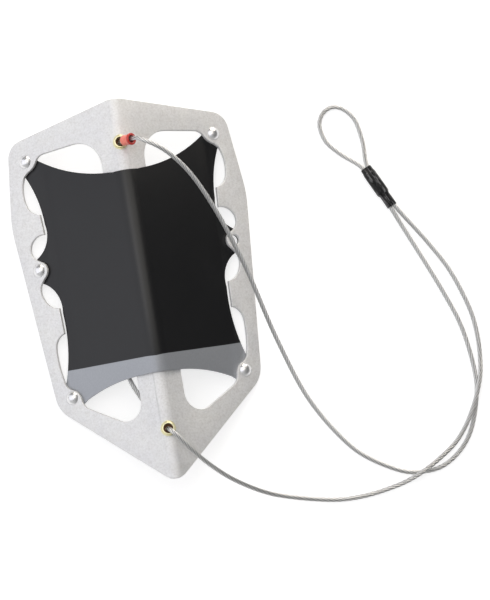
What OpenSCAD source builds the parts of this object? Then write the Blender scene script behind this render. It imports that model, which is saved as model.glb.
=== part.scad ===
// Snow fluke anchor: a folded aluminium plate, a black centre sheet and a wire rope bridle.
// Millimetres. The floor is Z = 0, X runs across the plate and Y along its ridge, head toward +Y.
// Flat pattern points are [across, along]: the distance from the ridge and from the head edge.

/* [Plate] */
// Thickness of the aluminium plate
plate_t = 2.5; // [2:0.25:3.5]
// Angle that each wing falls from the flat
fold = 28; // [24:1:32]
// Outer radius of the fold along the ridge
bend_r = 9.25; // [8.5:0.25:10.5]
// Half width of the spine between the two windows
spine_half = 17.2; // [15:0.2:20]
// Radius of the window corner beside the spine, at the head
window_head_r = 20; // [16:1:22]
// Radius of the window corner beside the spine, at the tip
window_tip_r = 12; // [10:0.5:13]
// Radius of the rounded tip
tip_r = 13.4; // [11:0.2:16]
// Radius of the corners at the head
head_corner_r = 13; // [8:1:16]
// Radius of the corners above the tip
tip_corner_r = 22; // [12:1:26]

/* [Clip hole and rivets] */
// Diameter of the clip hole in the right middle tab
clip_hole_d = 7.5; // [6:0.25:8]
// Diameter of the hole behind it in the sheet
sheet_hole_d = 8; // [7:0.25:9]
// Diameter of the rivet shanks
rivet_d = 4.8; // [4:0.2:5.2]
// Diameter of the domed rivet heads
rivet_head_d = 9.6; // [8.6:0.2:10.4]
// Height of the domed rivet heads
rivet_head_h = 2.6; // [1.8:0.2:3]
// Diameter of the set rivet tails
rivet_tail_d = 7.2; // [6.4:0.2:8]
// Height of the set rivet tails
rivet_tail_h = 1.8; // [1.2:0.2:1.8]
// Diameter of the backing washers
washer_d = 11; // [9.5:0.5:11.5]
// Thickness of the backing washers
washer_t = 1; // [0.6:0.1:1.1]

/* [Centre sheet] */
// Thickness of the flexible sheet
sheet_t = 1.5; // [1:0.1:1.8]
// Outer radius of the sheet over the ridge
sheet_ridge_r = 15; // [12:0.5:16]

/* [Grommets and stops] */
// Bore of the brass grommets
grommet_bore_d = 6.6; // [6:0.2:6.8]
// Wall of the grommet barrel
grommet_wall = 0.6; // [0.4:0.1:0.8]
// Diameter of the front flange
grommet_flange_d = 10.4; // [9.6:0.2:11]
// Diameter of the back flange
grommet_back_d = 9.6; // [9:0.2:10]
// Thickness of both flanges
grommet_flange_t = 0.9; // [0.6:0.1:1]
// Diameter of the crimped stops behind the grommets
stop_d = 8; // [7.6:0.1:9]
// Length of the crimped stops
stop_len = 7; // [5:0.5:8]

/* [Wire rope and its fittings] */
// Diameter of the wire rope
rope_d = 3.2; // [2.8:0.1:3.3]
// Distance between the two strands in the ferrule
strand_gap = 3.35; // [3.35:0.05:3.5]
// Length of the swaged ferrule
ferrule_len = 18; // [14:1:20]
// Width of the swaged ferrule
ferrule_w = 8.2; // [8:0.2:8.6]
// Thickness of the swaged ferrule
ferrule_t = 5.4; // [5:0.2:5.6]
// Wall of the heat-shrink sleeve
shrink_wall = 0.5; // [0.4:0.1:0.7]
// Width of the heat-shrink sleeve where it leaves the ferrule
shrink_tail_w = 7.6; // [7.4:0.2:8.2]

/* [Marker sleeve] */
// Outer diameter of the red sleeve
sleeve_d = 7.4; // [6.8:0.2:7.6]
// Bore of the red sleeve
sleeve_bore_d = 4.6; // [4.4:0.2:5.2]
// Diameter of the rim at its free end
sleeve_rim_d = 8.4; // [7.8:0.2:8.8]
// Length of the red sleeve
sleeve_len = 8.5; // [7:0.5:10]

/* [Hidden] */
$fn = 64;
arc_steps = 10;
clear = 0.05;
past = 1;
overlap = 0.8;
bend_steps = 7;

// Outline corners of the flat pattern, for one wing.
head_top = [0, 0.6];
head_corner = [88.3, -12.2];
side_corner = [95.5, -70.5];
side_corner_r = 80;
tip_corner = [81, -203.8];
tip_point = [0, -268.9];
window_head_y = -23.7;
window_tip_y = -221;

// Rivets and grommets in the flat pattern.
rivet_upper = [76.5, -26.6];
rivet_middle = [79, -104.6];
rivet_lower = [69, -197.2];
grommet_upper_y = -31.05;
grommet_lower_y = -231.1;

// The two wings meet the rolled ridge at the seam.
seam_w = bend_r * tan(fold);
seam_x = bend_r * sin(fold);
bend_z = -bend_r / cos(fold);
tip_half_angle = atan2(tip_corner[0] - tip_point[0], tip_corner[1] - tip_point[1]);
tip_centre_y = tip_point[1] + tip_r / sin(tip_half_angle);
tip_y = tip_centre_y - tip_r;
tip_seam_y = tip_centre_y - sqrt(tip_r * tip_r - seam_w * seam_w);
head_seam_y = head_top[1] + (head_corner[1] - head_top[1]) * seam_w / head_corner[0];

// The anchor rests on the straight lower edge of each wing, which sets its height and its tilt.
rest_tilt = atan((side_corner[0] - tip_corner[0]) * sin(fold) / (side_corner[1] - tip_corner[1]));
rest_h = (side_corner[0] * sin(fold) + plate_t * cos(fold)) * cos(rest_tilt) - side_corner[1] * sin(rest_tilt);
middle_y = -(head_seam_y + tip_y) / 2 * cos(rest_tilt)
    - (bend_r - bend_r / cos(fold) - plate_t / 2) * -sin(rest_tilt);

// The sheet lies over the spine and behind the tabs, so each side dips a little more than its wing.
sheet_turn_w = 61;
sheet_dip = atan((plate_t + sheet_t + 3 * clear) / (sheet_turn_w - spine_half));
sheet_fold = fold + sheet_dip;
turn_x = sheet_turn_w * cos(fold) - (plate_t + clear) * sin(fold);
turn_z = -sheet_turn_w * sin(fold) - (plate_t + clear) * cos(fold);
sheet_apex_z = turn_z + turn_x * tan(sheet_fold);
sheet_bend_z = sheet_apex_z - sheet_ridge_r / cos(sheet_fold);
sheet_seam_x = sheet_ridge_r * sin(sheet_fold);
sheet_seam_w = sheet_seam_x * cos(fold) - (sheet_bend_z + sheet_ridge_r * cos(sheet_fold)) * sin(fold);
sheet_head_y = -51.1;
sheet_tip_y = -192.3;

// The stack that each rivet holds: plate, sheet and washer.
sheet_back = -plate_t - sheet_t - 2 * clear;
washer_back = sheet_back - washer_t;
rivet_hole_d = rivet_d + 2 * clear;

// Grommets and the stops behind them.
grommet_d = grommet_bore_d + 2 * grommet_wall;
ridge_top = bend_z + bend_r;
lip_out_r = grommet_bore_d / 2 + 1.4;
lip_h = 0.7;
lip_z = ridge_top + grommet_flange_t + clear;
back_flange_r = bend_r - plate_t - grommet_flange_t;
barrel_foot = bend_z + sqrt(pow(back_flange_r, 2) - pow(grommet_bore_d / 2, 2)) - 0.3;
stop_top = bend_z + sqrt(pow(back_flange_r, 2) - pow(stop_d / 2, 2)) - 2 * clear;

// The front flange is formed a little flatter than the ridge, to clear the straight wings beside it.
flange_drop = grommet_flange_d / 2 * tan(fold) + ridge_top;
flange_r = (pow(grommet_flange_d / 2, 2) + pow(flange_drop, 2)) / (2 * flange_drop);

// The ferrule lies on the floor beside the plate, its head toward the eye.
ferrule_angle = -66;
ferrule_mid = [178.5, 52.2];
shrink_len = 33.5;
ferrule_from = 4.5;
shrink_w = ferrule_w + 2 * shrink_wall;
shrink_t = ferrule_t + 2 * shrink_wall;
shrink_head_w = strand_gap + rope_d + 2 * shrink_wall + 0.9;
shrink_head_t = rope_d + 2 * shrink_wall + 0.6;
shrink_tail_t = rope_d + 2 * shrink_wall + 0.4;
rope_r = rope_d / 2;
strand_hole_r = rope_r + clear;

// The sleeve leans out of the mouth of the upper grommet and rests its low edge on the lip.
sleeve_lean = 42;
sleeve_turn = 11;
sleeve_shift = 0.2;
sleeve_foot = 3.5;

// Centre line of the wire rope, from the upper stop through the ferrule and round the eye.
upper_leg = [[0, 101.7, 39], [0, 101.5, 45.5], [0.8, 101.3, 49.2], [2.2, 101, 50.8], [11.1, 98.7, 60.7],
    [15, 96.1, 62.9], [23.5, 90.6, 63], [31.3, 84.2, 60.8], [42.8, 70.6, 55], [55.9, 46.6, 44],
    [68.1, 16.3, 30.5], [73.6, -0.4, 23.5], [86.6, -48, 9], [101, -90, 3], [120, -122, 1.7],
    [133, -136, 1.7], [158, -151, 1.7], [170, -153.2, 1.7], [184, -152, 1.7], [198, -144, 1.7],
    [209, -131, 1.7], [218.5, -106, 1.7], [220.3, -92, 1.7], [217.5, -58, 1.7], [210, -32, 1.7],
    [188.5, 24.5, 2.2], [183.8, 36.2, 3.2], [170.1, 67, 3.2], [155.5, 81.5, 1.7], [147.2, 92, 1.7],
    [144.8, 103.5, 1.7], [146.4, 109.5, 1.7], [150.5, 114.3, 1.7], [156.5, 116.5, 1.7], [162.8, 114.6, 1.7],
    [167.7, 110, 1.7], [171, 104, 1.7], [173.4, 88, 1.7], [173.1, 68.4, 3.2], [179.8, 53.4, 3.2]];
lower_leg = [[0, -98.1, 28.9], [0, -98.45, 35.5], [0.2, -98.7, 38], [1.1, -99.9, 40.8], [3.2, -102.5, 42.1],
    [13.5, -115.5, 38.6], [21, -124, 33.8], [36.5, -137, 23], [57, -148.5, 11], [72, -154, 6],
    [106, -162, 2], [124, -163, 1.7], [142, -161.3, 2.1], [158, -158, 3.7], [171, -153, 5.3],
    [184, -146, 3.8], [197, -137, 2], [206, -127, 2.7], [213, -116, 4.6], [219, -104, 5.3],
    [223.6, -92, 4.3], [226, -81, 2.2], [227.3, -66, 1.7], [226.5, -50, 1.7], [222.5, -32, 1.7],
    [216, -13, 1.7], [205, 8, 1.7], [186.9, 37.5, 3.2], [180.2, 52.5, 3.2]];
back_run = [[0, 101.7, 39], [0, 101.9, 32.5], [-1, 100, 27.5], [-9, 80, 20.5], [-20, 38, 20], [-25, -18, 20],
    [-20, -58, 21], [-14.3, -72.5, 20], [-7, -87, 17.5], [-2, -95, 17.2], [0, -97.6, 20.5], [0, -97.85, 24],
    [0, -98.1, 28.9]];

// Round the corner b between a and c.
function unit(v) = v / norm(v);
function turn_of(a, b, c) = acos(unit(b - a) * unit(c - b));
function rounded(a, b, c, r) = let (
        t = r * tan(turn_of(a, b, c) / 2),
        p = b - unit(b - a) * t,
        q = b + unit(c - b) * t,
        m = p + q - 2 * b,
        centre = b + unit(m) * r / cos(turn_of(a, b, c) / 2),
        from = atan2(p[1] - centre[1], p[0] - centre[0]),
        sweep = turn_by(from, atan2(q[1] - centre[1], q[0] - centre[0]))
    ) [for (i = [0:arc_steps]) centre + r * [cos(from + sweep * i / arc_steps), sin(from + sweep * i / arc_steps)]];
function turn_by(from, to) = to - from > 180 ? to - from - 360 : to - from < -180 ? to - from + 360 : to - from;

// The arc from a to c through b.
function arc(a, b, c) = let (
        d = 2 * (a[0] * (b[1] - c[1]) + b[0] * (c[1] - a[1]) + c[0] * (a[1] - b[1])),
        ux = ((a * a) * (b[1] - c[1]) + (b * b) * (c[1] - a[1]) + (c * c) * (a[1] - b[1])) / d,
        uy = ((a * a) * (c[0] - b[0]) + (b * b) * (a[0] - c[0]) + (c * c) * (b[0] - a[0])) / d,
        centre = [ux, uy],
        r = norm(a - centre),
        from = atan2(a[1] - uy, a[0] - ux),
        half = turn_by(from, atan2(b[1] - uy, b[0] - ux)),
        rest = turn_by(from + half, atan2(c[1] - uy, c[0] - ux))
    ) [for (i = [0:arc_steps]) centre + r * [cos(from + (half + rest) * i / arc_steps),
        sin(from + (half + rest) * i / arc_steps)]];

// Outer edge of one wing, from beside the ridge at the head to the ridge at the tip.
wing_edge = concat([[seam_w - overlap, head_seam_y], [seam_w + overlap, head_seam_y]],
    rounded(head_top, head_corner, side_corner, head_corner_r),
    rounded(head_corner, side_corner, tip_corner, side_corner_r),
    rounded(side_corner, tip_corner, tip_point, tip_corner_r),
    [for (i = [0:arc_steps]) [0, tip_centre_y] + tip_r * [cos(tip_angle(i)), sin(tip_angle(i))]]);
function tip_angle(i) = -tip_half_angle - (acos((seam_w - overlap) / tip_r) - tip_half_angle) * i / arc_steps;

// Window edge: round the corners by the spine, then tabs about the rivets and bays between them.
tip_slope = [-18.8, -10.7];
slope_normal = unit([-tip_slope[1], tip_slope[0]]);
window_tip_mid = [spine_half + window_tip_r, window_tip_y + window_tip_r];
window_edge = concat(
    arc([spine_half, window_head_y - window_head_r],
        [spine_half + window_head_r * (1 - cos(45)), window_head_y - window_head_r * (1 - sin(45))],
        [spine_half + window_head_r, window_head_y]),
    arc([60.5, -24.3], [65, -25.3], [68.2, -28.2]),
    arc([68.4, -28.6], [71.3, -32], [75.6, -34.3]),
    arc([79, -36.8], [82, -47], [81.2, -56.5]),
    arc([80.9, -57.6], [77.6, -62.9], [71.4, -65.9]),
    arc([70.3, -80.6], [77.8, -81.6], [82.4, -86.6]),
    arc([82.9, -88.2], [82.2, -93.8], [78.2, -97.7]),
    arc([76.8, -98.7], [72.3, -105], [75.3, -110.6]),
    arc([78.3, -114], [80.1, -119], [79, -124.6]),
    arc([78.7, -125.4], [75, -130.6], [67.8, -133.7]),
    arc([67.1, -152.1], [72.6, -155.2], [75.2, -161.6]),
    arc([75.4, -163], [75.1, -172], [73.4, -183.6]),
    arc([72.6, -187], [70.1, -190.4], [66.8, -192.2]),
    arc([66, -192.7], [63.2, -195.8], [61.9, -200]),
    arc([61.7, -201], [60.1, -204.6], [56.8, -207.3]),
    arc(window_tip_mid + window_tip_r * [slope_normal[0], slope_normal[1]],
        window_tip_mid + window_tip_r * [cos(-120), sin(-120)],
        [spine_half, window_tip_y + window_tip_r]));

// Edge of the sheet: concave between the ears that lie behind the tabs.
sheet_edge = concat([[sheet_seam_w - overlap, sheet_head_y], [sheet_seam_w + overlap, sheet_head_y]],
    arc([11, -50.6], [38.8, -43.3], [67.8, -27.4]),
    arc([70.2, -24], [78.5, -19.3], [84, -27.5]),
    arc([84, -28.5], [82.6, -33], [79.3, -37.3]),
    arc([79, -37.9], [72.9, -54], [70, -72]),
    arc([70, -73], [71.6, -87.4], [80.7, -96]),
    arc([81.7, -96.7], [87, -104.6], [79.5, -113.4]),
    arc([78.3, -114.1], [69.2, -123.3], [66.9, -137]),
    arc([66.9, -138], [67.3, -162], [72.6, -184.8]),
    arc([73.2, -186], [77.3, -195], [73, -204.2]),
    arc([72, -204.9], [67.8, -205.4], [63.4, -203.5]),
    arc([58.6, -200.6], [36, -194.2], [11, -192.5]),
    [[sheet_seam_w + overlap, sheet_tip_y], [sheet_seam_w - overlap, sheet_tip_y]]);

// Cross-sections, as [across, up] for the right half: top face, then under face, each from the ridge outward.
function half_arc(r, angle, centre_z) = [for (i = [0:bend_steps])
    [r * sin(angle * i / bend_steps), centre_z + r * cos(angle * i / bend_steps)]];
function on_side(w, n) = [w * cos(fold) + n * sin(fold), -w * sin(fold) + n * cos(fold)];
plate_top = concat(half_arc(bend_r, fold, bend_z), [on_side(110, 0)]);
plate_under = concat(half_arc(bend_r - plate_t, fold, bend_z), [on_side(110, -plate_t)]);
sheet_top = concat(half_arc(sheet_ridge_r, sheet_fold, sheet_bend_z),
    [on_side(sheet_turn_w, -plate_t - clear), on_side(110, -plate_t - clear)]);
sheet_under = concat(half_arc(sheet_ridge_r - sheet_t, sheet_fold, sheet_bend_z),
    [on_side(sheet_turn_w - sheet_t * tan(sheet_dip / 2), -plate_t - clear - sheet_t),
        on_side(110, -plate_t - clear - sheet_t)]);

// Frames: the ridge of the resting plate, and the front face of one wing.
module on_ridge() {
    translate([0, middle_y, rest_h]) rotate([rest_tilt, 0, 0]) children();
}

module on_wing(side) {
    on_ridge() mirror([side < 0 ? 1 : 0, 0, 0]) rotate([0, fold, 0]) children();
}

module both_sides() {
    children();
    mirror([1, 0, 0]) children();
}

// A sheet folded over the ridge, from the half cross-sections of its two faces.
module folded(top, under) {
    translate([0, 50, 0]) rotate([90, 0, 0]) linear_extrude(400) polygon(concat(
        top,
        [for (i = [len(under) - 1:-1:0]) under[i]],
        [for (i = [1:len(under) - 1]) [-under[i][0], under[i][1]]],
        [for (i = [len(top) - 1:-1:1]) [-top[i][0], top[i][1]]]));
}

// A block that trims one side of a folded sheet, square to the wing.
module side_block() {
    both_sides() rotate([0, fold, 0]) translate([0, 0, -8]) linear_extrude(16) children();
}

// A long round bar under the ridge, with its crown at the given height over the plate.
module ridge_bar(ridge_r, rise) {
    translate([0, 20, ridge_top - ridge_r]) rotate([90, 0, 0]) cylinder(r = ridge_r + rise, h = 40, $fn = 128);
}

// A round flange formed to a ridge of the given radius, between two heights over the plate.
module flange(d, ridge_r, low, high) {
    difference() {
        intersection() {
            ridge_bar(ridge_r, high);
            translate([0, 0, bend_z]) cylinder(d = d, h = 2 * bend_r);
        }
        ridge_bar(ridge_r, low);
    }
}

module frame_plate() {
    tip_drop = tip_seam_y - tip_y;
    ridge_end_r = (seam_x * seam_x + tip_drop * tip_drop) / (2 * tip_drop);
    ridge_half = seam_x - overlap / 4;
    color("silver") difference() {
        on_ridge() intersection() {
            folded(plate_top, plate_under);
            union() {
                side_block() difference() {
                    polygon(wing_edge);
                    polygon(window_edge);
                }
                translate([0, 0, -20]) linear_extrude(40) intersection() {
                    translate([-ridge_half, tip_y - past])
                        square([2 * ridge_half, head_seam_y - tip_y + past]);
                    union() {
                        translate([0, tip_y + ridge_end_r]) circle(ridge_end_r, $fn = 128);
                        translate([-ridge_end_r, tip_y + ridge_end_r])
                            square([2 * ridge_end_r, head_seam_y - tip_y]);
                    }
                }
            }
        }
        grommet_holes();
        for (side = [-1, 1]) on_wing(side) for (at = [rivet_upper, rivet_lower]) rivet_hole(at);
        on_wing(-1) rivet_hole(rivet_middle);
        on_wing(1) translate([rivet_middle[0], rivet_middle[1], -plate_t - past])
            cylinder(d = clip_hole_d, h = plate_t + 2 * past);
    }
}

module grommet_holes() {
    for (y = [grommet_upper_y, grommet_lower_y]) on_ridge() translate([0, y, bend_z])
        cylinder(d = grommet_d + 2 * clear, h = 2 * bend_r);
}

module rivet_hole(at) {
    translate([at[0], at[1], washer_back - past]) cylinder(d = rivet_hole_d, h = past - washer_back + past);
}

module centre_sheet() {
    ridge_half = sheet_seam_x - overlap / 4;
    color("dimgray") difference() {
        on_ridge() intersection() {
            folded(sheet_top, sheet_under);
            union() {
                side_block() polygon(sheet_edge);
                translate([-ridge_half, sheet_tip_y, -20]) cube([2 * ridge_half, sheet_head_y - sheet_tip_y, 40]);
            }
        }
        for (side = [-1, 1]) on_wing(side) for (at = [rivet_upper, rivet_lower]) rivet_hole(at);
        on_wing(-1) rivet_hole(rivet_middle);
        on_wing(1) translate([rivet_middle[0], rivet_middle[1], sheet_back - past])
            cylinder(d = sheet_hole_d, h = plate_t + sheet_t + 2 * past);
    }
}

// A solid rivet with a domed head on the plate and a set tail on the washer.
module rivet(side, at) {
    dome_r = (pow(rivet_head_d / 2, 2) + pow(rivet_head_h, 2)) / (2 * rivet_head_h);
    color("gainsboro") on_wing(side) translate([at[0], at[1], 0]) union() {
        intersection() {
            translate([0, 0, rivet_head_h - dome_r]) sphere(dome_r, $fn = 96);
            cylinder(d = rivet_head_d + past, h = rivet_head_h + past);
        }
        translate([0, 0, washer_back]) cylinder(d = rivet_d, h = -washer_back);
        rotate_extrude() translate([0, washer_back]) polygon([[0, 0], [rivet_tail_d / 2, 0],
            [rivet_tail_d / 2, 0.6 - rivet_tail_h], [rivet_tail_d / 2 - 0.9, -rivet_tail_h], [0, -rivet_tail_h]]);
    }
}

module washer(side, at) {
    color("lightgray") on_wing(side) translate([at[0], at[1], washer_back]) difference() {
        cylinder(d = washer_d, h = washer_t);
        translate([0, 0, -past]) cylinder(d = rivet_hole_d, h = washer_t + 2 * past);
    }
}

// A brass eyelet: two flanges formed to the ridge, a barrel and a raised lip round its mouth.
module grommet(y) {
    color("goldenrod") on_ridge() translate([0, y, 0]) difference() {
        union() {
            flange(grommet_flange_d, flange_r, clear, grommet_flange_t);
            flange(grommet_back_d, bend_r, -plate_t - grommet_flange_t, -plate_t - clear);
            translate([0, 0, barrel_foot]) cylinder(d = grommet_d, h = lip_z - barrel_foot);
            difference() {
                union() {
                    translate([0, 0, ridge_top - plate_t]) cylinder(r = lip_out_r, h = lip_z - ridge_top + plate_t);
                    translate([0, 0, lip_z]) cylinder(r1 = lip_out_r, r2 = lip_out_r - lip_h, h = lip_h);
                }
                ridge_bar(flange_r, grommet_flange_t / 2);
            }
        }
        translate([0, 0, bend_z]) cylinder(d = grommet_bore_d, h = 2 * bend_r);
    }
}

module stop(y) {
    color("darkgray") on_ridge() translate([0, y, stop_top - stop_len]) difference() {
        rotate_extrude() polygon([[0, 0], [stop_d / 2 - 0.6, 0], [stop_d / 2, 0.6],
            [stop_d / 2, stop_len - 0.6], [stop_d / 2 - 0.6, stop_len], [0, stop_len]]);
        translate([0, 0, -past]) cylinder(r = strand_hole_r + 3 * clear, h = stop_len + 2 * past);
    }
}

module marker_sleeve() {
    color("tomato") on_ridge() translate([0, grommet_upper_y + sleeve_shift, lip_z])
        rotate([0, sleeve_lean, -sleeve_turn]) translate([0, 0, sleeve_foot]) difference() {
            union() {
                cylinder(d = sleeve_d, h = sleeve_len);
                translate([0, 0, sleeve_len - 1.6]) cylinder(d = sleeve_rim_d, h = 1.6);
            }
            translate([0, 0, -past]) cylinder(d = sleeve_bore_d, h = sleeve_len + 2 * past);
        }
}

// A round rope swept along its points, one ring of eight corners at each.
module rope(points) {
    sides = 8;
    count = len(points);
    tangents = [for (i = [0:count - 1]) unit(points[min(i + 1, count - 1)] - points[max(i - 1, 0)])];
    rings = [for (i = [0:count - 1]) let (
            t = tangents[i],
            up = abs(t[2]) > 0.9 ? [1, 0, 0] : [0, 0, 1],
            a = unit(cross(t, up)),
            b = cross(t, a)
        ) for (k = [0:sides - 1]) points[i] + rope_r * (a * cos(360 * k / sides) + b * sin(360 * k / sides))];
    polyhedron(rings, concat([[for (k = [0:sides - 1]) k]],
        [for (i = [0:count - 2]) for (k = [0:sides - 1])
            [i * sides + (k + 1) % sides, i * sides + k, (i + 1) * sides + k, (i + 1) * sides + (k + 1) % sides]],
        [[for (k = [sides - 1:-1:0]) (count - 1) * sides + k]]));
}

module oval(w, t) {
    for (side = [-1, 1]) translate([side * (w - t) / 2, 0]) circle(d = t);
    square([w - t, t], center = true);
}

// Along the ferrule: Z runs from the eye's end of the shrink sleeve to its tail, X across the two strands.
module along_ferrule(from) {
    translate([ferrule_mid[0], ferrule_mid[1], shrink_t / 2]) rotate([0, 0, ferrule_angle])
        rotate([0, 90, 0]) rotate([0, 0, 90]) translate([0, 0, from - shrink_len / 2]) children();
}

module swage_ferrule() {
    color("silver") difference() {
        along_ferrule(ferrule_from) linear_extrude(ferrule_len) oval(ferrule_w, ferrule_t);
        for (side = [-1, 1]) along_ferrule(ferrule_from - past) translate([side * strand_gap / 2, 0, 0])
            cylinder(r = strand_hole_r, h = ferrule_len + 2 * past);
    }
}

module shrink_sleeve() {
    bulge_to = ferrule_from + ferrule_len;
    color([0.13, 0.13, 0.14]) difference() {
        union() {
            along_ferrule(0) linear_extrude(ferrule_from) oval(shrink_head_w, shrink_head_t);
            along_ferrule(ferrule_from - shrink_wall) linear_extrude(ferrule_len + 2 * shrink_wall)
                oval(shrink_w, shrink_t);
            along_ferrule(bulge_to) linear_extrude(shrink_len - bulge_to) oval(shrink_tail_w, shrink_tail_t);
        }
        along_ferrule(ferrule_from) linear_extrude(ferrule_len) oval(ferrule_w, ferrule_t);
        along_ferrule(-past) linear_extrude(shrink_len + 2 * past)
            oval(strand_gap + rope_d + 4 * clear, rope_d + 4 * clear);
    }
}

frame_plate();
centre_sheet();
rivet(-1, rivet_upper);  // rivet_left_upper
rivet(-1, rivet_middle);  // rivet_left_middle
rivet(-1, rivet_lower);  // rivet_left_lower
rivet(1, rivet_upper);  // rivet_right_upper
rivet(1, rivet_lower);  // rivet_right_lower
washer(-1, rivet_upper);  // washer_left_upper
washer(-1, rivet_middle);  // washer_left_middle
washer(-1, rivet_lower);  // washer_left_lower
washer(1, rivet_upper);  // washer_right_upper
washer(1, rivet_lower);  // washer_right_lower
grommet(grommet_upper_y);  // grommet_upper
grommet(grommet_lower_y);  // grommet_lower
stop(grommet_upper_y);  // stop_upper
stop(grommet_lower_y);  // stop_lower
marker_sleeve();
color("lightsteelblue") rope(upper_leg);  // cable_upper_leg
color("lightsteelblue") rope(lower_leg);  // cable_lower_leg
color("lightsteelblue") rope(back_run);  // cable_back_run
swage_ferrule();
shrink_sleeve();
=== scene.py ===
import math

import bmesh
import bpy
import numpy as np
from mathutils import Matrix, Vector


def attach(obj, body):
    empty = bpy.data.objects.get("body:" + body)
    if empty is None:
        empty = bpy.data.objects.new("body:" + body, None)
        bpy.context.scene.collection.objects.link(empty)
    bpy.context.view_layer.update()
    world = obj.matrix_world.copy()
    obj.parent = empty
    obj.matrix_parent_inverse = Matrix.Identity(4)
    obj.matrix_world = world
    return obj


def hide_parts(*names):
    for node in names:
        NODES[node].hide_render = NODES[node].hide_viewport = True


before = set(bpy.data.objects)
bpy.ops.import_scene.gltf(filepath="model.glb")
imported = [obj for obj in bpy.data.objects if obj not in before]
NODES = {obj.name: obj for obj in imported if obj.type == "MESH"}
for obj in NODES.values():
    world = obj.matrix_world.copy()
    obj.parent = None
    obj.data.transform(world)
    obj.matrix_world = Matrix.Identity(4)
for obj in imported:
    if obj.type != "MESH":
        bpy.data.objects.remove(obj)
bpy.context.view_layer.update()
ANCHOR = "anchor"
MARKER = "marker"
MM_IN_METRE = 1000

# Camera: its place, the directions to its right and behind it, and its lens
CAMERA_AT = (-0.04065, -0.25323, 1.24210)
CAMERA_RIGHT = (0.98326, -0.17413, 0.05364)
CAMERA_BACK = (-0.08688, -0.18930, 0.97807)
CAMERA_LENS_MM = 108
CAMERA_SENSOR_MM = 36
CAMERA_NEAR = 0.05
CAMERA_FAR = 20


def in_scene(name, data):
    obj = bpy.data.objects.new(name, data)
    bpy.context.scene.collection.objects.link(obj)
    return obj


def add_camera():
    data = bpy.data.cameras.new("camera")
    data.lens = CAMERA_LENS_MM
    data.sensor_width = CAMERA_SENSOR_MM
    data.clip_start = CAMERA_NEAR
    data.clip_end = CAMERA_FAR
    right = Vector(CAMERA_RIGHT).normalized()
    back = Vector(CAMERA_BACK).normalized()
    up = back.cross(right).normalized()
    turn = Matrix((up.cross(back), up, back)).transposed().to_4x4()
    camera = in_scene("camera", data)
    camera.matrix_world = Matrix.Translation(CAMERA_AT) @ turn
    bpy.context.scene.camera = camera


add_camera()

# A noise reaches a finish's dark tone at the low share and its light tone at the high one
NOISE_LOW = 0.3
NOISE_HIGH = 0.7
# A Mix node's colour sockets have the same names as its others, so they are found by place
MIX_FACTOR = 0
MIX_A = 6
MIX_B = 7
MIX_RESULT = 2


# The nodes of one material or world, and the steps that the finishes share
class Tree:
    def __init__(self, owner):
        owner.use_nodes = True
        self.owner = owner
        self.nodes = owner.node_tree.nodes
        self.links = owner.node_tree.links

    def feed(self, value, socket):
        if isinstance(value, bpy.types.NodeSocket):
            self.links.new(value, socket)
        else:
            socket.default_value = value

    def put(self, name, value):
        self.feed(value, self.nodes["Principled BSDF"].inputs[name])

    def place(self):
        return self.nodes.new("ShaderNodeTexCoord").outputs["Object"]

    def painted(self, layer):
        item = self.nodes.new("ShaderNodeVertexColor")
        item.layer_name = layer
        return item.outputs["Color"]

    def noise(self, scale, detail, rough, where=None):
        item = self.nodes.new("ShaderNodeTexNoise")
        item.inputs["Scale"].default_value = scale
        item.inputs["Detail"].default_value = detail
        item.inputs["Roughness"].default_value = rough
        self.feed(self.place() if where is None else where, item.inputs["Vector"])
        return item.outputs["Fac"]

    def ramp(self, fac, *stops):
        item = self.nodes.new("ShaderNodeValToRGB")
        while len(item.color_ramp.elements) < len(stops):
            item.color_ramp.elements.new(0.5)
        for slot, (position, tone) in zip(item.color_ramp.elements, stops):
            slot.position = position
            slot.color = (*tone, 1)
        self.feed(fac, item.inputs["Fac"])
        return item.outputs["Color"]

    def two_tone(self, fac, dark, light):
        return self.ramp(fac, (NOISE_LOW, dark), (NOISE_HIGH, light))

    def map_range(self, value, from_low, from_high, to_low, to_high):
        item = self.nodes.new("ShaderNodeMapRange")
        item.inputs["From Min"].default_value = from_low
        item.inputs["From Max"].default_value = from_high
        item.inputs["To Min"].default_value = to_low
        item.inputs["To Max"].default_value = to_high
        self.feed(value, item.inputs["Value"])
        return item.outputs["Result"]

    def span(self, fac, low, high):
        return self.map_range(fac, NOISE_LOW, NOISE_HIGH, low, high)

    def mix(self, a, b, blend, fac=1.0):
        item = self.nodes.new("ShaderNodeMix")
        item.data_type = "RGBA"
        item.blend_type = blend
        self.feed(fac, item.inputs[MIX_FACTOR])
        self.feed(a, item.inputs[MIX_A])
        self.feed(b, item.inputs[MIX_B])
        return item.outputs[MIX_RESULT]

    def maths(self, kind, *values):
        item = self.nodes.new("ShaderNodeMath")
        item.operation = kind
        for value, socket in zip(values, item.inputs):
            self.feed(value, socket)
        return item.outputs["Value"]

    def bump(self, height, distance, strength):
        item = self.nodes.new("ShaderNodeBump")
        item.inputs["Distance"].default_value = distance
        item.inputs["Strength"].default_value = strength
        self.feed(height, item.inputs["Height"])
        self.put("Normal", item.outputs["Normal"])


def new_material(name):
    return Tree(bpy.data.materials.new(name))


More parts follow.
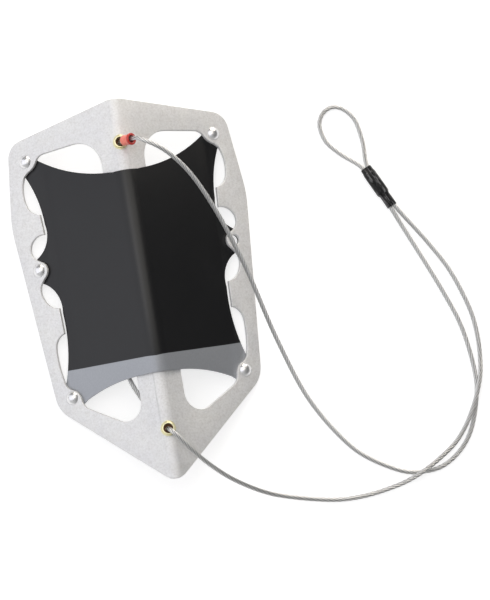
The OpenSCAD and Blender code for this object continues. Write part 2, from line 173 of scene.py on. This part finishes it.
# Aluminium plate: a stippled, tumbled face with small pits and cloudy tone
def plate_material():
    tree = new_material("tumbled_aluminium")
    cloud = tree.noise(scale=60, detail=2, rough=0.5)
    stain = tree.noise(scale=260, detail=3, rough=0.6)
    speck = tree.noise(scale=700, detail=4, rough=0.7)
    grain = tree.noise(scale=2200, detail=2, rough=0.6)
    tone = tree.ramp(speck, (0.30, (0.72, 0.715, 0.705)), (0.50, (0.82, 0.82, 0.815)),
                     (0.70, (0.89, 0.89, 0.89)))
    blot = tree.ramp(stain, (0.35, (0.95, 0.945, 0.94)), (0.50, (0.985, 0.985, 0.985)),
                     (0.65, (1.0, 1.0, 1.0)))
    shade = tree.two_tone(cloud, (0.965, 0.965, 0.975), (1.0, 1.0, 0.99))
    blotted = tree.mix(tone, blot, "MULTIPLY")
    tree.put("Base Color", tree.mix(blotted, shade, "MULTIPLY"))
    tree.put("Metallic", 0.35)
    tree.put("Roughness", tree.span(speck, 0.46, 0.58))
    pits = tree.maths("ADD", tree.maths("MULTIPLY", speck, 0.7), grain)
    tree.bump(pits, distance=0.00008, strength=0.5)
    return tree.owner


# The printed band's upper edge: its y at the spine, its rise for each metre out, and its sharpness
PRINT_EDGE_Y = -0.04855
PRINT_EDGE_RISE = 0.087
PRINT_SHARPNESS = 4000


# Black coated sheet with a plain pale grey band printed across its lower edge
def sheet_material():
    tree = new_material("coated_sheet")
    split = tree.nodes.new("ShaderNodeSeparateXYZ")
    tree.feed(tree.place(), split.inputs["Vector"])
    grain = tree.noise(scale=900, detail=3, rough=0.6)
    wave = tree.noise(scale=45, detail=2, rough=0.5)
    rise = tree.maths("MULTIPLY", tree.maths("ABSOLUTE", split.outputs["X"]), PRINT_EDGE_RISE)
    below_edge = tree.maths("SUBTRACT", tree.maths("ADD", rise, PRINT_EDGE_Y), split.outputs["Y"])
    clamp = tree.nodes.new("ShaderNodeClamp")
    tree.feed(tree.maths("MULTIPLY", below_edge, PRINT_SHARPNESS), clamp.inputs["Value"])
    printed = clamp.outputs["Result"]
    black = tree.two_tone(wave, (0.0018, 0.0019, 0.0026), (0.0028, 0.0029, 0.0038))
    grey = tree.two_tone(grain, (0.33, 0.345, 0.37), (0.37, 0.385, 0.41))
    tree.put("Base Color", tree.mix(black, grey, "MIX", fac=printed))
    tree.put("Metallic", tree.maths("MULTIPLY", printed, 0.35))
    tree.put("Roughness", tree.span(grain, 0.28, 0.35))
    tree.bump(grain, distance=0.00003, strength=0.4)
    return tree.owner


# Marker sleeve: a soft red tube, with painted shade darkening its open end and its bore
def marker_material():
    tree = new_material("red_marker")
    fine = tree.noise(scale=500, detail=3, rough=0.6)
    body = tree.two_tone(fine, (0.86, 0.17, 0.12), (0.95, 0.26, 0.19))
    # The vertex layer multiplies in painted shade: dark on the rim, darker in the bore
    tree.put("Base Color", tree.mix(body, tree.painted("depth"), "MULTIPLY"))
    tree.put("Roughness", tree.span(fine, 0.26, 0.38))
    tree.put("Coat Weight", 0.5)
    tree.put("Coat Roughness", 0.15)
    tree.bump(fine, distance=0.00002, strength=0.5)
    return tree.owner


# Wire rope: pale strands with painted shade in the grooves between them
def wire_material():
    tree = new_material("galvanised_wire")
    fine = tree.noise(scale=1400, detail=3, rough=0.6)
    strand = tree.two_tone(fine, (0.56, 0.56, 0.55), (0.70, 0.70, 0.69))
    # The vertex layer multiplies painted shade into the grooves between strands
    tree.put("Base Color", tree.mix(strand, tree.painted("painted_groove_shade"), "MULTIPLY"))
    tree.put("Metallic", 0.85)
    tree.put("Roughness", tree.span(fine, 0.30, 0.40))
    tree.bump(fine, distance=0.00003, strength=0.5)
    return tree.owner


# The shrink sleeve's direction on the ground, and the length and width of its creases
SHRINK_TURN = math.radians(-66)
CREASE_LENGTH = 0.011
CREASE_WIDTH = 0.0018


# Heat-shrink: glossy black with creases drawn out along the sleeve, and painted highlight streaks along
# their crests
def shrink_material():
    tree = new_material("glossy_shrink")
    turned = tree.nodes.new("ShaderNodeMapping")
    turned.vector_type = "TEXTURE"
    turned.inputs["Rotation"].default_value = (0, 0, SHRINK_TURN)
    turned.inputs["Scale"].default_value = (CREASE_LENGTH, CREASE_WIDTH, CREASE_WIDTH)
    tree.feed(tree.place(), turned.inputs["Vector"])
    crease = tree.noise(scale=1.0, detail=2, rough=0.5, where=turned.outputs["Vector"])
    fine = tree.noise(scale=900, detail=3, rough=0.6)
    black = tree.two_tone(fine, (0.0035, 0.0035, 0.004), (0.006, 0.006, 0.0065))
    # Painted highlight: narrow pale streaks along the crease crests, added to the black
    painted_highlight = tree.ramp(crease, (0.53, (0.0, 0.0, 0.0)), (0.60, (0.17, 0.17, 0.175)), (0.66, (0.0, 0.0, 0.0)))
    tree.put("Base Color", tree.mix(black, painted_highlight, "ADD"))
    tree.put("Specular IOR Level", 0.25)
    tree.put("Roughness", tree.span(fine, 0.12, 0.20))
    tree.bump(crease, distance=0.0035, strength=1.0)
    return tree.owner


# A plain metal: rough is the middle of its roughness, and depth the height of its fine grain
def metal(name, dark, light, metallic, rough, scale, depth):
    tree = new_material(name)
    fine = tree.noise(scale=scale, detail=3, rough=0.6)
    tree.put("Base Color", tree.two_tone(fine, dark, light))
    tree.put("Metallic", metallic)
    tree.put("Roughness", tree.span(fine, rough * 0.85, rough * 1.15))
    tree.bump(fine, distance=depth, strength=0.5)
    return tree.owner


PLATE = plate_material()
SHEET = sheet_material()
RIVET = metal("polished_rivet", dark=(0.78, 0.78, 0.78), light=(0.87, 0.87, 0.875),
              metallic=0.95, rough=0.30, scale=700, depth=0.00001)
WASHER = metal("washer_metal", dark=(0.55, 0.55, 0.56), light=(0.68, 0.68, 0.69),
               metallic=1.0, rough=0.35, scale=600, depth=0.00002)
BRASS = metal("pale_brass", dark=(0.76, 0.70, 0.40), light=(0.86, 0.82, 0.56),
              metallic=0.85, rough=0.30, scale=300, depth=0.000006)
# Stops and the hidden ferrule: metal painted near black, as painted shade for the dark inside of the grommet
# holes
SHADE_DARK_METAL = metal("metal_darkened_as_painted_shade", dark=(0.10, 0.052, 0.032), light=(0.19, 0.10, 0.06),
             metallic=0.9, rough=0.42, scale=500, depth=0.00006)
WIRE = wire_material()
RED = marker_material()
SHRINK = shrink_material()


def dress(obj, mat):
    obj.data.materials.clear()
    obj.data.materials.append(mat)


def new_object(name, mesh, mat, body, replaces):
    obj = in_scene(name, mesh)
    dress(obj, mat)
    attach(obj, body)
    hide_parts(*replaces)
    return obj


def smooth(mesh):
    mesh.polygons.foreach_set("use_smooth", [True] * len(mesh.polygons))


# One tone for each vertex, which the material reads from the named layer
def paint(mesh, layer, tones):
    colours = mesh.color_attributes.new(name=layer, type="FLOAT_COLOR", domain="POINT")
    colours.data.foreach_set("color", [value for tone in tones for value in (*tone, 1.0)])


def skin(bm, rings):
    for ring, after in zip(rings, rings[1:]):
        for k in range(len(ring)):
            j = (k + 1) % len(ring)
            bm.faces.new((ring[k], ring[j], after[j], after[k]))


def to_mesh(bm, name, sharp_angle=None):
    mesh = bpy.data.meshes.new(name)
    bm.to_mesh(mesh)
    bm.free()
    smooth(mesh)
    if sharp_angle is not None:
        mesh.set_sharp_from_angle(angle=sharp_angle)
    mesh.update()
    return mesh


# Wire rope: its radius and its strands', the length of one turn, and the painted shade in its grooves
WIRE_R = 0.0016
STRAND_R = 0.00054
WIRE_LAY = 0.0235
GROOVE_PAINTED_SHADE = 0.10
STRANDS = 6
STRAND_POINTS = 6
STRAND_ARC = math.radians(60)
# How finely the route is curved between two of its points, and the distance between the wire's rings
CURVE_STEPS = 24
RING_STEP = 0.0009
# Any direction that the wire doesn't start in
FRAME_START = (0.3, 0.5, 0.81)


def between(u, low, high, at_low, at_high):
    return (high - u) / (high - low) * at_low + (u - low) / (high - low) * at_high


# A smooth curve through the points, cut into even steps, with its length
def smooth_line(points):
    pts = np.array(points, float)
    pts = np.vstack([2 * pts[0] - pts[1], pts, 2 * pts[-1] - pts[-2]])
    curve = []
    for i in range(1, len(pts) - 2):
        p = pts[i - 1:i + 3]
        t = np.concatenate([[0], np.cumsum(np.sqrt(np.linalg.norm(np.diff(p, axis=0), axis=1)))])
        for u in np.linspace(t[1], t[2], CURVE_STEPS, endpoint=False):
            a = [between(u, t[k], t[k + 1], p[k], p[k + 1]) for k in range(3)]
            b = [between(u, t[k], t[k + 2], a[k], a[k + 1]) for k in range(2)]
            curve.append(between(u, t[1], t[2], b[0], b[1]))
    curve.append(pts[-2])
    line = np.array(curve)
    run = np.concatenate([[0], np.cumsum(np.linalg.norm(np.diff(line, axis=0), axis=1))])
    length = run[-1]
    even = np.linspace(0, length, int(length / RING_STEP) + 1)
    return np.stack([np.interp(even, run, line[:, k]) for k in range(3)], axis=1), length


# Two directions across the line at each of its points, carried along it without a twist
def carried_frames(line):
    tangent = np.gradient(line, axis=0)
    tangent /= np.linalg.norm(tangent, axis=1)[:, None]
    side = np.cross(tangent[0], FRAME_START)
    side /= np.linalg.norm(side)
    sides = []
    for ahead in tangent:
        side = side - ahead * side.dot(ahead)
        side /= np.linalg.norm(side)
        sides.append(side)
    sides = np.array(sides)
    return sides, np.cross(tangent, sides)


# The radius of the wire at each point of one ring, from the strands' round backs
def wire_profile(count):
    centre_r = WIRE_R - STRAND_R
    profile = []
    for i in range(count):
        phi = (i % STRAND_POINTS) / STRAND_POINTS * STRAND_ARC - STRAND_ARC / 2
        profile.append(centre_r * math.cos(phi) + math.sqrt(STRAND_R ** 2 - (centre_r * math.sin(phi)) ** 2))
    return np.array(profile)[:, None]


def wire_mesh(name, line, length):
    count = STRANDS * STRAND_POINTS
    profile = wire_profile(count)
    angles = np.array([i / count * 2 * math.pi for i in range(count)])
    side, other = carried_frames(line)
    rings = len(line)
    verts = []
    for k in range(rings):
        a = angles + 2 * math.pi * (k / (rings - 1) * length) / WIRE_LAY
        verts.append(line[k] + (np.cos(a)[:, None] * side[k] + np.sin(a)[:, None] * other[k]) * profile)
    faces = []
    for k in range(rings - 1):
        for i in range(count):
            j = (i + 1) % count
            faces.append((k * count + i, k * count + j, (k + 1) * count + j, (k + 1) * count + i))
    faces.append(tuple(reversed(range(count))))
    faces.append(tuple(range((rings - 1) * count, rings * count)))
    mesh = bpy.data.meshes.new(name)
    mesh.from_pydata(np.concatenate(verts).tolist(), [], faces)
    smooth(mesh)
    # Painted shade: one point of each strand is darkened, in the groove between strands
    groove_shades = [GROOVE_PAINTED_SHADE if i % STRAND_POINTS == 0 else 1.0 for i in range(count)]
    paint(mesh, "painted_groove_shade", [(depth, depth, depth) for depth in groove_shades * rings])
    mesh.update()
    return mesh


# Route points of the wire, in millimetres, as in the CAD
UPPER_LEG = [(0, 101.7, 39), (0, 101.5, 45.5), (0.8, 101.3, 49.2), (2.2, 101, 50.8), (11.1, 98.7, 60.7),
             (15, 96.1, 62.9), (23.5, 90.6, 63), (31.3, 84.2, 60.8), (42.8, 70.6, 55), (55.9, 46.6, 44),
             (68.1, 16.3, 30.5), (73.6, -0.4, 23.5), (86.6, -48, 9), (101, -90, 3), (120, -122, 1.7),
             (133, -136, 1.7), (158, -151, 1.7), (170, -153.2, 1.7), (184, -152, 1.7), (198, -144, 1.7),
             (209, -131, 1.7), (218.5, -106, 1.7), (220.3, -92, 1.7), (217.5, -58, 1.7), (210, -32, 1.7),
             (188.5, 24.5, 2.2), (183.8, 36.2, 3.2), (170.1, 67, 3.2), (155.5, 81.5, 1.7),
             (147.2, 92, 1.7), (144.8, 103.5, 1.7), (146.4, 109.5, 1.7), (150.5, 114.3, 1.7),
             (156.5, 116.5, 1.7), (162.8, 114.6, 1.7), (167.7, 110, 1.7), (171, 104, 1.7),
             (173.4, 88, 1.7), (173.1, 68.4, 3.2), (179.8, 53.4, 3.2)]
LOWER_LEG = [(0, -98.1, 28.9), (0, -98.45, 35.5), (0.2, -98.7, 38), (1.1, -99.9, 40.8),
             (3.2, -102.5, 42.1), (13.5, -115.5, 38.6), (21, -124, 33.8), (36.5, -137, 23),
             (57, -148.5, 11), (72, -154, 6), (106, -162, 2), (124, -163, 1.7), (142, -161.3, 2.1),
             (158, -158, 3.7), (171, -153, 5.3), (184, -146, 3.8), (197, -137, 2), (206, -127, 2.7),
             (213, -116, 4.6), (219, -104, 5.3), (223.6, -92, 4.3), (226, -81, 2.2), (227.3, -66, 1.7),
             (226.5, -50, 1.7), (222.5, -32, 1.7), (216, -13, 1.7), (205, 8, 1.7), (186.9, 37.5, 3.2),
             (180.2, 52.5, 3.2)]
BACK_RUN = [(0, 101.7, 39), (0, 101.9, 32.5), (-1, 100, 27.5), (-9, 80, 20.5), (-20, 38, 20),
            (-25, -18, 20), (-20, -58, 21), (-14.3, -72.5, 20), (-7, -87, 17.5), (-2, -95, 17.2),
            (0, -97.6, 20.5), (0, -97.85, 24), (0, -98.1, 28.9)]


def lay_wire(name, points, node):
    line, length = smooth_line([[value / MM_IN_METRE for value in point] for point in points])
    obj = new_object(name, wire_mesh(name, line, length), WIRE, ANCHOR, [node])


# Shrink sleeve: how far along it, how wide and how thick it is at each ring, in millimetres
SHRINK_STATIONS = [(-16.75, 7.7, 4.2), (-16.55, 8.1, 4.55), (-15, 8.35, 4.7), (-13.6, 8.4, 4.75),
                   (-12.7, 8.8, 5.5), (-11.9, 9.1, 6.1), (-10.6, 9.15, 6.3), (-9, 9.1, 6.0),
                   (-7.4, 9.2, 6.3), (-5, 9.2, 6.35), (-3.4, 9.1, 6.0), (-1.8, 9.2, 6.35),
                   (0.6, 9.2, 6.3), (2.2, 9.1, 6.0), (3.6, 9.15, 6.3), (4.7, 9.05, 6.2),
                   (5.5, 8.75, 5.9), (6.1, 8.0, 5.2), (6.8, 7.4, 4.6), (8, 7.3, 4.4),
                   (11, 7.45, 4.45), (14, 7.5, 4.5), (16.4, 7.55, 4.55), (16.75, 7.2, 4.2)]
SHRINK_MIDDLE = (0.1785, 0.0522, 0.0032)
SHRINK_POINTS = 40
SHRINK_SHARP = math.radians(50)
# How quickly a ring's flat side is reached from its middle line
FLAT_RISE = 6
# Its open ends hold two strands side by side: half their gap, the hole, and where it starts and stops
MOUTH_FLAT_MM = 1.68
MOUTH_R_MM = 1.66
MOUTH_AT_MM = 16.6
MOUTH_FLOOR_AT_MM = 13


# The shrink sleeve follows the ferrule and the two strands that leave it
def shrink_mesh():
    middle = np.array(SHRINK_MIDDLE)
    along = np.array([math.cos(SHRINK_TURN), math.sin(SHRINK_TURN), 0])
    across = np.array([-along[1], along[0], 0])
    high = np.array([0, 0, 1.0])
    bm = bmesh.new()

    def ring_at(place_mm, flat_mm, radius_mm):
        ring = []
        for k in range(SHRINK_POINTS):
            a = 2 * math.pi * k / SHRINK_POINTS
            flat = math.copysign(flat_mm, math.cos(a)) * min(1, abs(math.cos(a)) * FLAT_RISE)
            u = flat + radius_mm * math.cos(a)
            v = radius_mm * math.sin(a)
            ring.append(bm.verts.new(middle + (along * place_mm + across * u + high * v) / MM_IN_METRE))
        return ring

    rings = [ring_at(place_mm, (wide - thick) / 2, thick / 2) for place_mm, wide, thick in SHRINK_STATIONS]
    skin(bm, rings)
    for ring, end in ((rings[0], -1), (rings[-1], 1)):
        mouth = ring_at(end * MOUTH_AT_MM, MOUTH_FLAT_MM, MOUTH_R_MM)
        mouth_floor = ring_at(end * MOUTH_FLOOR_AT_MM, MOUTH_FLAT_MM, MOUTH_R_MM)
        skin(bm, [ring, mouth, mouth_floor])
        bm.faces.new(mouth_floor)
    bmesh.ops.recalc_face_normals(bm, faces=bm.faces)
    return to_mesh(bm, "shrink_sleeve_formed", SHRINK_SHARP)


shrink = new_object("shrink_sleeve_formed", shrink_mesh(), SHRINK, ANCHOR, ["shrink_sleeve"])
ferrule = NODES["swage_ferrule"]
dress(ferrule, SHADE_DARK_METAL)
lay_wire("wire_upper_leg", UPPER_LEG, "cable_upper_leg")
lay_wire("wire_lower_leg", LOWER_LEG, "cable_lower_leg")
lay_wire("wire_back_run", BACK_RUN, "cable_back_run")

# Broken edges: their widths, and the angles that tell a flat face and a sharp edge
PLATE_EDGE = 0.0005
SHEET_EDGE = 0.0003
SMALL_EDGE = 0.0002
EDGE_ROUNDNESS = 0.6
WELD_DISTANCE = 1e-6
FLAT_ANGLE = math.radians(0.6)
SHARP_ANGLE = math.radians(32)


# A piece that keeps its CAD shape, with its edges broken
def softened(node, name, mat, width, steps=2):
    bm = bmesh.new()
    bm.from_mesh(NODES[node].data)
    bmesh.ops.remove_doubles(bm, verts=bm.verts, dist=WELD_DISTANCE)
    bmesh.ops.dissolve_limit(bm, angle_limit=FLAT_ANGLE, verts=bm.verts, edges=bm.edges)
    sharp = [edge for edge in bm.edges
             if len(edge.link_faces) == 2 and edge.calc_face_angle(0) > SHARP_ANGLE]
    bmesh.ops.bevel(bm, geom=sharp, offset=width, segments=steps, profile=EDGE_ROUNDNESS, affect="EDGES",
                    clamp_overlap=False)
    return new_object(name, to_mesh(bm, name, SHARP_ANGLE), mat, ANCHOR, [node])


softened("frame_plate", "plate_finished", PLATE, PLATE_EDGE, steps=3)
sheet = softened("centre_sheet", "sheet_finished", SHEET, SHEET_EDGE)
for spot in ("left_upper", "left_middle", "left_lower", "right_upper", "right_lower"):
    softened("rivet_" + spot, "rivet_" + spot + "_finished", RIVET, SMALL_EDGE)
    dress(NODES["washer_" + spot], WASHER)
for spot in ("upper", "lower"):
    softened("grommet_" + spot, "grommet_" + spot + "_finished", BRASS, SMALL_EDGE)
    dress(NODES["stop_" + spot], SHADE_DARK_METAL)

# Marker sleeve: its lean from upright, its turn aside and the ridge's own tilt, which set its axis
SLEEVE_LEAN = math.radians(42)
SLEEVE_ASIDE = math.radians(11)
RIDGE_TILT = math.radians(2.92343)
# The point of the ridge that it leans from, and how far up its axis it starts
SLEEVE_FROM = (0.0, 0.10154, 0.0483)
SLEEVE_LIFT = 0.0035
SLEEVE_POINTS = 48
# Its outline turned round the axis: radius and height, in millimetres
SLEEVE_OUTLINE = [(2.35, 0.2), (2.5, 0.05), (2.9, 0.0), (3.35, 0.05), (3.6, 0.3), (3.68, 0.8), (3.68, 3.0),
                  (3.64, 5.0), (3.68, 6.3), (3.78, 6.7), (4.0, 6.92), (4.16, 7.25), (4.18, 7.8),
                  (4.05, 8.25), (3.7, 8.48), (3.1, 8.48), (2.65, 8.3), (2.42, 7.9), (2.35, 7.3),
                  (2.35, 4.0), (2.35, 1.0)]
# Inside this radius the outline is the bore, and above this height it is the rim
BORE_R_MM = 2.6
RIM_FROM_MM = 6.5
# Painted shade for the bore and for the rim, and the unshaded body's tone
BORE_PAINTED_SHADE = (0.30, 0.05, 0.04)
RIM_PAINTED_SHADE = (0.62, 0.12, 0.10)
BODY_TONE = (1.0, 0.95, 0.9)


def sleeve_painted_shade(radius_mm, height_mm):
    if radius_mm < BORE_R_MM:
        return BORE_PAINTED_SHADE
    return RIM_PAINTED_SHADE if height_mm > RIM_FROM_MM else BODY_TONE


# The red marker sleeve: a soft moulded tube with a thick rolled rim
def marker_mesh():
    level = -math.sin(SLEEVE_LEAN) * math.sin(SLEEVE_ASIDE)
    axis = np.array([math.sin(SLEEVE_LEAN) * math.cos(SLEEVE_ASIDE),
                     level * math.cos(RIDGE_TILT) - math.cos(SLEEVE_LEAN) * math.sin(RIDGE_TILT),
                     level * math.sin(RIDGE_TILT) + math.cos(SLEEVE_LEAN) * math.cos(RIDGE_TILT)])
    foot = np.array(SLEEVE_FROM) + axis * SLEEVE_LIFT
    side = np.cross(axis, (0, 1, 0))
    side /= np.linalg.norm(side)
    other = np.cross(axis, side)
    turns = [2 * math.pi * k / SLEEVE_POINTS for k in range(SLEEVE_POINTS)]
    outward = [side * math.cos(turn) + other * math.sin(turn) for turn in turns]
    bm = bmesh.new()
    rings = []
    for r, h in SLEEVE_OUTLINE:
        centre = foot + axis * h / MM_IN_METRE
        rings.append([bm.verts.new(centre + way * r / MM_IN_METRE) for way in outward])
    skin(bm, rings + rings[:1])
    bmesh.ops.recalc_face_normals(bm, faces=bm.faces)
    mesh = to_mesh(bm, "marker_sleeve_moulded")
    # Each ring gets its painted shade: bore, rim or the unshaded body
    paint(mesh, "depth", [sleeve_painted_shade(r, h) for r, h in SLEEVE_OUTLINE for _ in range(SLEEVE_POINTS)])
    return mesh


new_object("marker_sleeve_moulded", marker_mesh(), RED, MARKER, ["marker_sleeve"])

# Floor: half its side, its height just under the anchor, its tone and the glow that lifts it to white
FLOOR_HALF = 4.0
FLOOR_Z = -0.0001
FLOOR_TONE = (0.50, 0.50, 0.50, 1)
FLOOR_ROUGHNESS = 0.9
FLOOR_GLOW = 0.70


def add_floor():
    tree = new_material("studio_floor")
    tree.put("Base Color", FLOOR_TONE)
    tree.put("Roughness", FLOOR_ROUGHNESS)
    tree.put("Specular IOR Level", 0.0)
    ray = tree.nodes.new("ShaderNodeLightPath").outputs
    seen = tree.maths("MAXIMUM", ray["Is Camera Ray"], ray["Is Glossy Ray"])
    seen = tree.maths("MAXIMUM", seen, ray["Is Transmission Ray"])
    glow = tree.nodes.new("ShaderNodeEmission")
    tree.feed(tree.maths("MULTIPLY", seen, FLOOR_GLOW), glow.inputs["Strength"])
    both = tree.nodes.new("ShaderNodeAddShader")
    tree.feed(tree.nodes["Principled BSDF"].outputs["BSDF"], both.inputs[0])
    tree.feed(glow.outputs["Emission"], both.inputs[1])
    tree.feed(both.outputs["Shader"], tree.nodes["Material Output"].inputs["Surface"])
    mesh = bpy.data.meshes.new("floor")
    square = [(x * FLOOR_HALF, y * FLOOR_HALF, FLOOR_Z) for x, y in ((-1, -1), (1, -1), (1, 1), (-1, 1))]
    mesh.from_pydata(square, [], [(0, 1, 2, 3)])
    mesh.materials.append(tree.owner)
    in_scene("floor", mesh)


# Lamps: name, direction, distance, width and height, power and tint
LAMPS = [("sky", (-0.64, 0.10, 0.76), 1.6, (1.9, 2.4), 11.8, (0.90, 0.91, 1.0)),
         ("top", (0.04, 0.30, 0.95), 1.3, (1.0, 1.3), 5.0, (1.0, 0.96, 0.90)),
         ("key", (0.36, 0.86, 0.36), 1.3, (1.0, 0.7), 9.5, (1.0, 0.93, 0.84))]
LAMPS_AIM_AT = (0.06, 0, 0)


def add_lamp(name, direction, distance, size, power, tint):
    data = bpy.data.lights.new(name, "AREA")
    data.shape = "RECTANGLE"
    data.size, data.size_y = size
    data.energy = power
    data.color = tint
    away = Vector(direction).normalized()
    lamp = in_scene(name, data)
    lamp.location = Vector(LAMPS_AIM_AT) + away * distance
    lamp.rotation_euler = away.to_track_quat("Z", "Y").to_euler()


# World: brighter toward one side, and plain white where the camera sees it
WORLD_BRIGHT_SIDE = (-0.83, -0.55, 0.0)
WORLD_TURN_FROM = -0.2
WORLD_TURN_TO = 0.9
WORLD_DIM = 0.20
WORLD_BRIGHT = 0.60
WHITE = (1, 1, 1, 1)


def add_world():
    world = bpy.data.worlds.new("studio")
    bpy.context.scene.world = world
    tree = Tree(world)
    toward = tree.nodes.new("ShaderNodeVectorMath")
    toward.operation = "DOT_PRODUCT"
    tree.feed(tree.nodes.new("ShaderNodeTexCoord").outputs["Generated"], toward.inputs[0])
    tree.feed(WORLD_BRIGHT_SIDE, toward.inputs[1])
    around = tree.map_range(toward.outputs["Value"], WORLD_TURN_FROM, WORLD_TURN_TO, WORLD_DIM, WORLD_BRIGHT)
    seen = tree.nodes.new("ShaderNodeLightPath").outputs["Is Camera Ray"]
    background = tree.nodes["Background"]
    tree.feed(tree.maths("MAXIMUM", seen, around), background.inputs["Strength"])
    tree.feed(WHITE, background.inputs["Color"])


add_floor()
for lamp in LAMPS:
    add_lamp(*lamp)
add_world()
bpy.context.scene.view_settings.view_transform = "Standard"
